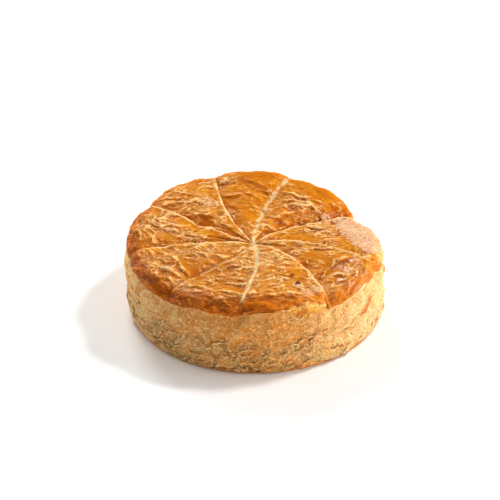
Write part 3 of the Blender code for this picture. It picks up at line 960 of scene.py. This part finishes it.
taper = np.sqrt(np.clip(1.02 - t ** 2, 0.0, 1.0))
mm_to_columns = columns / SIDE_ROUND
leaf_c = by_leaf(leaf_column) + (by_leaf(leaf_length) * 0.5 * t + 0.0 * u) * mm_to_columns
leaf_z = by_leaf(leaf_height) + by_leaf(leaf_bow) * (1.0 - t ** 2) + by_leaf(leaf_tilt) * t
leaf_z = leaf_z + by_leaf(leaf_width) * taper * u
on_wall = wall_at(leaf_c, leaf_z)
outwards = on_wall * np.array([1.0, 1.0, 0.0])
outwards /= np.linalg.norm(outwards, axis=-1, keepdims=True)
leaf_places = on_wall + outwards * (by_leaf(leaf_lift) * taper * u ** 0.7 - 0.04)[..., None]
corner = np.arange(LEAF_ALONG * LEAF_RISE).reshape(LEAF_ALONG, LEAF_RISE)
quads = np.stack([corner[:-1, :-1], corner[1:, :-1], corner[1:, 1:], corner[:-1, 1:]], axis=-1)
first_points = np.arange(LEAF_COUNT) * corner.size
leaf_faces = (quads.reshape(-1, 4)[None] + first_points[:, None, None]).reshape(-1, 4)
leaves = make_piece("loose_leaves", leaf_places.reshape(-1, 3), leaf_faces.tolist())
print("loose leaves:", LEAF_COUNT, "with", len(leaves.data.polygons), "faces")

# %% [markdown]
# ## The underside
#
# Nobody sees it, but the part can be picked up. It stood flat on a hot tray, so it is a
# closed, evenly browned disc.

# %% The underside
base_radii = np.concatenate([np.arange(1.0, BASE_RADIUS - 2.0, 1.6), [BASE_RADIUS - FOOT_ROUND]])
base_ring = np.repeat(np.arange(len(base_radii)), COUNT * 24)
base_across = np.tile(np.arange(COUNT * 24) / 24.0, len(base_radii))
angle_b = in_wedge(base_across, np.full(len(base_across), LIP_RADIUS))[0]
far = base_radii[base_ring] + 0.5 * outline_offset(angle_b, 9.0 * NOTCH_WIDTH) * (
    base_radii[base_ring] / BASE_RADIUS) ** 3
base_places = settled(far * np.cos(angle_b), far * np.sin(angle_b), np.zeros(len(far)) + 0.02)
n = COUNT * 24
a = np.arange((len(base_radii) - 1) * n)
right = a + 1 - n * ((a % n) == n - 1)
base_faces = np.stack([a, right, right + n, a + n], axis=1).tolist()
base_faces.append(list(range(n))[::-1])
base = make_piece("browned_base", base_places, base_faces)
lay_flat_from_above(base, base_places[:, 0], base_places[:, 1])
print("base:", len(base.data.polygons), "faces")

# %% [markdown]
# ## Tools for the finishes
#
# Every finish here is a stack of thin colours, one over another, each let through by a
# mask. Baking browns pastry in soft patches with ragged edges, so three effects come back
# in one finish after another: a fine unevenness, thin curly lines, and a painted value
# with a ragged edge. Each of these is built once, as a node group, and used with its own
# values.

# %% Small helpers for nodes
def feed(tree, value, socket):
    """Link a socket, or set a plain value."""
    if isinstance(value, bpy.types.NodeSocket):
        tree.links.new(value, socket)
    elif socket.type == "RGBA":
        socket.default_value = (*value, 1.0)
    else:
        socket.default_value = value


def calculate(tree, operation, *values):
    node = tree.nodes.new("ShaderNodeMath")
    node.operation = operation
    for socket, value in zip(node.inputs, values):
        feed(tree, value, socket)
    return node.outputs["Value"]


def sum_of(tree, *parts):
    """Add up values, each with its own weight."""
    total = 0.0
    for value, weight in parts:
        total = calculate(tree, "MULTIPLY_ADD", value, weight, total)
    return total


def between(tree, value, low_end, high_end, low_out=0.0, high_out=1.0):
    """Stretch the range between two ends over another range, and stop at its ends."""
    node = tree.nodes.new("ShaderNodeMapRange")
    ends = (value, low_end, high_end, low_out, high_out)
    for name, end in zip(("Value", "From Min", "From Max", "To Min", "To Max"), ends):
        feed(tree, end, node.inputs[name])
    return node.outputs["Result"]


def blend(tree, share, first, second, kind="MIX"):
    """One colour over another, by a share."""
    node = tree.nodes.new("ShaderNodeMix")
    node.data_type = "RGBA"
    node.blend_type = kind
    for name, value in (("Factor", share), ("A", first), ("B", second)):
        feed(tree, value, next(s for s in node.inputs if s.name == name and s.enabled))
    return next(s for s in node.outputs if s.enabled)


def read(tree, name):
    """A number painted on the points."""
    node = tree.nodes.new("ShaderNodeAttribute")
    node.attribute_name = name
    return node.outputs["Fac"]


# %% Node groups that the finishes share
def new_group(name, inputs):
    """An empty group with named number inputs, and one output called Mask."""
    group = bpy.data.node_groups.new(name, "ShaderNodeTree")
    for label, value in inputs.items():
        kind = "NodeSocketVector" if isinstance(value, tuple) else "NodeSocketFloat"
        group.interface.new_socket(label, in_out="INPUT", socket_type=kind).default_value = value
    group.interface.new_socket("Mask", in_out="OUTPUT", socket_type="NodeSocketFloat")
    start = group.nodes.new("NodeGroupInput")
    end = group.nodes.new("NodeGroupOutput")
    return group, start.outputs, end.inputs["Mask"]


def use(tree, group, **values):
    """Place a group in a material, with its own values."""
    node = tree.nodes.new("ShaderNodeGroup")
    node.node_tree = group
    for name, value in values.items():
        feed(tree, value, node.inputs[name])
    return node.outputs["Mask"]


pastry_grain, given, result = new_group("pastry_grain", {
    "Scale": 500.0, "Detail": 3.0, "Stretch": (1.0, 1.0, 1.0), "Distortion": 0.0})
place = pastry_grain.nodes.new("ShaderNodeTexCoord")
stretched = pastry_grain.nodes.new("ShaderNodeMapping")
uneven = pastry_grain.nodes.new("ShaderNodeTexNoise")
feed(pastry_grain, place.outputs["Object"], stretched.inputs["Vector"])
feed(pastry_grain, given["Stretch"], stretched.inputs["Scale"])
feed(pastry_grain, stretched.outputs["Vector"], uneven.inputs["Vector"])
for name in ("Scale", "Detail", "Distortion"):
    feed(pastry_grain, given[name], uneven.inputs[name])
feed(pastry_grain, uneven.outputs["Fac"], result)

curly_lines, given, result = new_group("curly_lines", {"Grain": 0.5, "Level": 0.5, "Half": 0.05})
away = calculate(curly_lines, "ABSOLUTE",
                 calculate(curly_lines, "SUBTRACT", given["Grain"], given["Level"]))
solid_half = calculate(curly_lines, "MULTIPLY", given["Half"], 0.3)
feed(curly_lines, between(curly_lines, away, given["Half"], solid_half), result)

ragged_edge, given, result = new_group("ragged_edge", {
    "Painted": 0.0, "Grain": 0.5, "Ragged": 0.5, "From": 0.2, "To": 0.8, "Most": 1.0})
centred = calculate(ragged_edge, "SUBTRACT", given["Grain"], 0.5)
broken = calculate(ragged_edge, "MULTIPLY_ADD", centred, given["Ragged"], given["Painted"])
feed(ragged_edge, between(ragged_edge, broken, given["From"], given["To"], 0.0, given["Most"]),
     result)


def grain(tree, scale, detail=3.0, stretch=(1.0, 1.0, 1.0), distortion=0.0):
    return use(tree, pastry_grain, Scale=scale, Detail=detail, Stretch=stretch,
               Distortion=distortion)


def lines(tree, texture, level_at, half):
    return use(tree, curly_lines, Grain=texture, Level=level_at, Half=half)


def ragged_mask(tree, name, texture, start, end, ragged=0.5, most=1.0):
    return use(tree, ragged_edge, Painted=read(tree, name), Grain=texture, Ragged=ragged,
               From=start, To=end, Most=most)


def new_material(name):
    material = bpy.data.materials.new(name)
    material.use_nodes = True
    return material, material.node_tree, material.node_tree.nodes["Principled BSDF"]


def bake_soft(shader, weight, radius):
    """Light sinks a little way into pastry and comes out warmer."""
    shader.inputs["Subsurface Weight"].default_value = weight
    shader.inputs["Subsurface Radius"].default_value = radius
    shader.inputs["Subsurface Scale"].default_value = MM


def bump(tree, shader, height, distance):
    node = tree.nodes.new("ShaderNodeBump")
    node.inputs["Distance"].default_value = distance
    feed(tree, height, node.inputs["Height"])
    feed(tree, node.outputs["Normal"], shader.inputs["Normal"])


print("groups:", ", ".join(group.name for group in bpy.data.node_groups))

# %% [markdown]
# ## The colours of baking
#
# Butter pastry goes from cream through gold and amber to brown as it bakes. Each colour
# below has one job, and reds are kept low, since crusts drawn from memory come out too
# orange.

# %% Colours
AMBER = (0.54, 0.160, 0.005)
DEEP = (0.42, 0.092, 0.002)
BURNT = (0.31, 0.062, 0.003)
RUST = (0.69, 0.172, 0.003)
YELLOW = (0.60, 0.225, 0.010)
PEACH = (0.72, 0.33, 0.070)
PALE = (0.95, 0.58, 0.25)
CREAM = (0.86, 0.66, 0.36)
BARE = (0.72, 0.45, 0.27)
CHAR = (0.09, 0.028, 0.012)
TAN = (0.68, 0.27, 0.042)
CRUMB = (0.85, 0.54, 0.21)
HONEY = (0.82, 0.405, 0.095)
HONEY_TINT = (1.04, 0.86, 0.60)
LEAF = (0.93, 0.66, 0.32)
TOAST = (0.54, 0.200, 0.034)
TOAST_SHADE = (0.40, 0.130, 0.024)
DRIP = (0.58, 0.170, 0.006)
STRAW = (0.78, 0.40, 0.060)
GOLD = (0.82, 0.46, 0.070)
GILT = (0.78, 0.36, 0.055)

# %% [markdown]
# ## The egg glaze
#
# The top was brushed with beaten egg. It pooled in the hollows, where it baked to a glossy
# amber, and it ran off the crests, which stayed pale and dry. The crests also carry a painted
# highlight, and hollows, creases and slopes facing the front carry painted shade. For the
# shine a coat of clear gloss does best: the pastry under it stays matt, and only the wet
# places shine.

# %% The glaze: masks
glaze, tree, shader = new_material("egg_glaze")
coarse = grain(tree, 620.0, 3.0, (0.75, 1.5, 1.0))
speck = grain(tree, 1900.0, 2.0, (0.8, 1.3, 1.0))
both = sum_of(tree, (coarse, 0.64), (speck, 0.36))
crackle = grain(tree, 480.0, 3.0, (0.55, 1.6, 1.0), 0.2)
crackle_light_shade = read(tree, "crackle_light_shade")
# Fine crackle: pale lines on its ridges, partly thin glaze and partly painted highlight, and darker
# lines in its grooves, painted shade.
crackle_ridge_and_highlight = calculate(tree, "MULTIPLY", lines(tree, crackle, 0.5, 0.035), crackle_light_shade)
crackle_groove_and_shade = calculate(tree, "MULTIPLY", lines(tree, crackle, 0.44, 0.045), crackle_light_shade)
tone_light_and_shade = calculate(tree, "SUBTRACT", sum_of(tree, (read(tree, "tone_light_and_shade"), 1.0), (coarse, 0.70),
                                          (speck, 0.50)), 0.60)
rim_tone = sum_of(tree, (read(tree, "tone_light_and_shade"), 0.6), (grain(tree, 130.0), 0.8),
                  (coarse, 0.50), (speck, 0.50), (read(tree, "burnt"), -0.60))
print("glaze masks made")

# %% The glaze: colours, one over another
colour = blend(tree, between(tree, grain(tree, 200.0), 0.35, 0.65), AMBER, YELLOW)
# Low tone gives deep amber, painted shade in hollows and creases; high tone gives peach, painted
# highlight on raised parts.
colour = blend(tree, between(tree, tone_light_and_shade, -0.15, 0.36), DEEP, colour)
colour = blend(tree, between(tree, tone_light_and_shade, 0.58, 1.05), colour, PEACH)
# Painted shade on slopes that face the front.
colour = blend(tree, ragged_mask(tree, "steep", coarse, 0.10, 0.90, most=0.6), colour, DEEP)
rim_colour = blend(tree, between(tree, rim_tone, 0.48, 1.12), BURNT, RUST)
colour = blend(tree, read(tree, "browned"), colour, rim_colour)
flake_colour = blend(tree, between(tree, coarse, 0.40, 0.55), AMBER, STRAW)
flake_colour = blend(tree, between(tree, speck, 0.52, 0.62), flake_colour, PALE)
colour = blend(tree, ragged_mask(tree, "flaked", coarse, 0.2, 0.8), colour, flake_colour)
colour = blend(tree, between(tree, crackle_groove_and_shade, 0.0, 1.0, 0.0, 0.35), colour, DEEP)
colour = blend(tree, between(tree, crackle_ridge_and_highlight, 0.0, 1.0, 0.0, 0.55), colour, PALE)
# Crests golden at the edge and pale in the middle: partly thin glaze, partly painted highlight.
gilded = ragged_mask(tree, "crest_pale_and_highlight", both, 0.08, 0.40, ragged=0.70, most=0.3)
colour = blend(tree, gilded, colour, GILT)
colour = blend(tree, ragged_mask(tree, "crest_pale_and_highlight", both, 0.22, 0.60, ragged=0.70), colour, PALE)
dry_lines = lines(tree, grain(tree, 500.0, 3.0, (0.8, 1.3, 1.0), 1.0), 0.47, 0.06)
dry_colour = blend(tree, between(tree, dry_lines, 0.0, 1.0, 0.0, 0.55), BARE, AMBER)
colour = blend(tree, ragged_mask(tree, "bare", coarse, 0.15, 0.75), colour, dry_colour)
colour = blend(tree, ragged_mask(tree, "raw", coarse, 0.20, 0.75), colour, CREAM)
colour = blend(tree, read(tree, "pale_ring_and_highlight"), colour, CREAM)
# Burnt fleck, and painted shade in the cracks and the deep notch.
colour = blend(tree, read(tree, "dark"), colour, CHAR)
feed(tree, colour, shader.inputs["Base Color"])
print("glaze:", len(tree.nodes), "nodes")

# %% The glaze: gloss and grain
feed(tree, between(tree, read(tree, "bare"), 0.2, 0.8, 0.33, 0.62), shader.inputs["Roughness"])
feed(tree, between(tree, read(tree, "wet"), 0.1, 0.9, 0.05, 0.60), shader.inputs["Coat Weight"])
shader.inputs["Specular IOR Level"].default_value = 0.02
shader.inputs["Coat Roughness"].default_value = 0.10
bake_soft(shader, 0.25, (1.0, 0.35, 0.12))
bump(tree, shader, sum_of(tree, (coarse, 1.0), (speck, 0.5), (crackle_ridge_and_highlight, 0.25),
                          (crackle_groove_and_shade, -0.2)), 0.5 * MM)
top.data.materials.append(glaze)
print("glaze on", top.name)

# %% [markdown]
# ## The crumb of the side
#
# The side has no glaze. It is matt, pale where a leaf edge stands out, and toasted and
# darker with painted shade in the gaps between the leaves. The broad patches come from the
# paint, and the finest curls are drawn by the finish, since they are thinner than a face of
# the mesh.

# %% The crumb: masks
crumb, tree, shader = new_material("flaky_crumb")
crumb_grain = grain(tree, 900.0)
fine_grain = grain(tree, 2200.0, 2.0)
curls = grain(tree, 330.0, 3.0, (1.0, 1.0, 1.3), 1.0)
tiny_curls = grain(tree, 700.0, 2.0, (1.0, 1.0, 1.2), 0.8)
opened = read(tree, "open")
leaf_lines = sum_of(tree, (lines(tree, curls, 0.50, 0.055), 1.0),
                    (lines(tree, tiny_curls, 0.50, 0.08), 0.7))
# Lines just below each leaf edge: painted shade.
gap_shade_lines = sum_of(tree, (lines(tree, curls, 0.42, 0.06), 1.0),
                   (lines(tree, tiny_curls, 0.41, 0.06), 0.6))
small_leaf = calculate(tree, "MULTIPLY", leaf_lines, opened)
small_gap_shade = calculate(tree, "MULTIPLY", gap_shade_lines, opened)
print("crumb masks made")

# %% The crumb: colours, one over another
pale_crumb = blend(tree, read(tree, "honey"), CRUMB, HONEY)
colour = blend(tree, ragged_mask(tree, "cream", crumb_grain, 0.15, 0.85), TAN, pale_crumb)
colour = blend(tree, between(tree, fine_grain, 0.50, 0.60, 0.0, 0.7), colour, TOAST)
colour = blend(tree, between(tree, crumb_grain, 0.55, 0.62, 0.0, 0.7), colour, LEAF)
colour = blend(tree, ragged_mask(tree, "leaf", crumb_grain, 0.20, 0.80), colour, LEAF)
# Painted shade in the gaps, the seam and the hollows.
colour = blend(tree, ragged_mask(tree, "gap_shade", fine_grain, 0.15, 0.85, ragged=0.6), colour,
               TOAST_SHADE)
colour = blend(tree, between(tree, small_gap_shade, 0.0, 1.0, 0.0, 0.6), colour, TOAST)
colour = blend(tree, between(tree, small_leaf, 0.0, 1.0, 0.0, 0.9), colour, LEAF)
golden = blend(tree, between(tree, curls, 0.42, 0.55), AMBER, GOLD)
colour = blend(tree, ragged_mask(tree, "golden", crumb_grain, 0.2, 0.8, most=0.8), colour,
               golden)
colour = blend(tree, read(tree, "honey"), colour, HONEY_TINT, "MULTIPLY")
colour = blend(tree, read(tree, "foot"), colour, TOAST)
colour = blend(tree, read(tree, "drip"), colour, DRIP)
feed(tree, colour, shader.inputs["Base Color"])
print("crumb:", len(tree.nodes), "nodes")

# %% The crumb: gloss and grain
feed(tree, between(tree, read(tree, "drip"), 0.3, 0.8, 0.75, 0.25), shader.inputs["Roughness"])
shader.inputs["Specular IOR Level"].default_value = 0.15
bake_soft(shader, 0.25, (1.0, 0.45, 0.20))
bump(tree, shader, sum_of(tree, (crumb_grain, 1.0), (fine_grain, 0.6), (small_leaf, 0.4),
                          (small_gap_shade, -0.4)), 0.7 * MM)
side.data.materials.append(crumb)
print("crumb on", side.name)

# %% [markdown]
# ## Leaves and underside
#
# The loose leaves are so thin that one pale colour is enough. The underside lay on the hot
# tray: it is an even brown, mottled where butter fried it darker, with a paler grain.

# %% The loose leaves and the underside
pale_leaf, tree, shader = new_material("pale_leaf")
feed(tree, (0.90, 0.62, 0.29), shader.inputs["Base Color"])
shader.inputs["Roughness"].default_value = 0.7
shader.inputs["Specular IOR Level"].default_value = 0.10
leaves.data.materials.append(pale_leaf)

toasted, tree, shader = new_material("toasted_base")
fried = between(tree, grain(tree, 90.0, 4.0), 0.38, 0.62)
crumbs = between(tree, grain(tree, 900.0), 0.50, 0.66)
colour = blend(tree, crumbs, blend(tree, fried, TOAST, TAN), CRUMB)
feed(tree, colour, shader.inputs["Base Color"])
shader.inputs["Roughness"].default_value = 0.7
shader.inputs["Specular IOR Level"].default_value = 0.15
bump(tree, shader, grain(tree, 500.0), 0.4 * MM)
base.data.materials.append(toasted)
print("materials:", ", ".join(material.name for material in bpy.data.materials))

# %% [markdown]
# ## What belongs to what
#
# All of it is one cake, so each piece rides on the one body, and together the pieces take
# the place of the plain solid.

# %% Ride
for piece in (top, side, base, leaves):
    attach(piece, "root")
    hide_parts("galette")
    print(piece.name, "rides with", len(piece.data.vertices), "points")

# %% [markdown]
# ## A plain place to stand
#
# A cake on a white sheet, seen from the front and a little above. The light comes from all
# round, as in a pale room: a soft lamp high at the back right models the wrinkles, a
# second one behind lights the far rim, and two low cards brighten the right-hand side. A
# bright wall at the left is drawn by the world itself.

# %% Floor
FLOOR_HALF = 3.0

corners = [(-FLOOR_HALF, -FLOOR_HALF, 0.0), (FLOOR_HALF, -FLOOR_HALF, 0.0),
           (FLOOR_HALF, FLOOR_HALF, 0.0), (-FLOOR_HALF, FLOOR_HALF, 0.0)]
floor_mesh = bpy.data.meshes.new("floor")
floor_mesh.from_pydata(corners, [], [(0, 1, 2, 3)])
floor = bpy.data.objects.new("floor", floor_mesh)
bpy.context.scene.collection.objects.link(floor)
paper, tree, shader = new_material("white_paper")
feed(tree, (0.92, 0.92, 0.92), shader.inputs["Base Color"])
shader.inputs["Roughness"].default_value = 0.9
floor.data.materials.append(paper)
print("floor", 2.0 * FLOOR_HALF, "m wide")


# %% Lamps and cards
def area_light(name, place, size, watts):
    """A soft rectangle of light that faces the cake."""
    light = bpy.data.lights.new(name, "AREA")
    light.shape = "RECTANGLE"
    light.size, light.size_y = size
    light.energy = watts
    lamp = bpy.data.objects.new(name, light)
    lamp.location = place
    towards = Vector(place) - Vector((0.0, 0.0, 0.02))
    lamp.rotation_euler = towards.to_track_quat("Z", "Y").to_euler()
    bpy.context.scene.collection.objects.link(lamp)
    print(name, watts, "W")


area_light("key", (0.496, 0.253, 0.795), (0.14, 0.14), 5.5)
area_light("back", (-0.254, 0.698, 0.624), (0.30, 0.30), 4.9)
area_light("right_card", (0.955, 0.0, 0.168), (0.60, 0.20), 8.2)
area_light("front_card", (0.593, -0.759, 0.118), (0.60, 0.16), 4.1)

# %% The pale room
WALL_LIGHT = 4.0
CEILING_LIGHT = 0.93

world = bpy.data.worlds.new("studio")
world.use_nodes = True
sky = world.node_tree
background = sky.nodes["Background"]
background.inputs["Color"].default_value = (1.0, 0.985, 0.96, 1.0)
outlook = sky.nodes.new("ShaderNodeTexCoord")
split = sky.nodes.new("ShaderNodeSeparateXYZ")
sky.links.new(outlook.outputs["Generated"], split.inputs["Vector"])
towards_wall = sum_of(sky, (split.outputs["X"], -0.86), (split.outputs["Y"], 0.51))
below_top = between(sky, split.outputs["Z"], 0.40, 0.55, 1.0, 0.0)
wall_light = calculate(sky, "MULTIPLY", below_top,
                       between(sky, towards_wall, 0.60, 0.90, 0.0, WALL_LIGHT))
ceiling = between(sky, split.outputs["Z"], 0.80, 0.90, 0.0, CEILING_LIGHT)
feed(sky, calculate(sky, "ADD", wall_light, ceiling), background.inputs["Strength"])
bpy.context.scene.world = world
print("world has", len(sky.nodes), "nodes")

# %% [markdown]
# ## The camera
#
# It looks down at about half of a right angle's two thirds, from far enough away that the
# disc keeps its true shape, with a long lens to match.

# %% Camera
CAMERA_TILT = math.radians(31.55)
CAMERA_DISTANCE = 0.80

aim = Vector((-0.0022, 0.0, 0.0260))
camera = bpy.data.objects.new("camera", bpy.data.cameras.new("camera"))
camera.data.lens = 136.0
camera.data.sensor_width = 36.0
backwards = Vector((0.0, -math.cos(CAMERA_TILT), math.sin(CAMERA_TILT)))
camera.location = aim + backwards * CAMERA_DISTANCE
camera.rotation_euler = (0.5 * math.pi - CAMERA_TILT, 0.0, 0.0)
bpy.context.scene.collection.objects.link(camera)
bpy.context.scene.camera = camera
bpy.context.scene.view_settings.view_transform = "Standard"
print("camera", CAMERA_DISTANCE, "m away")
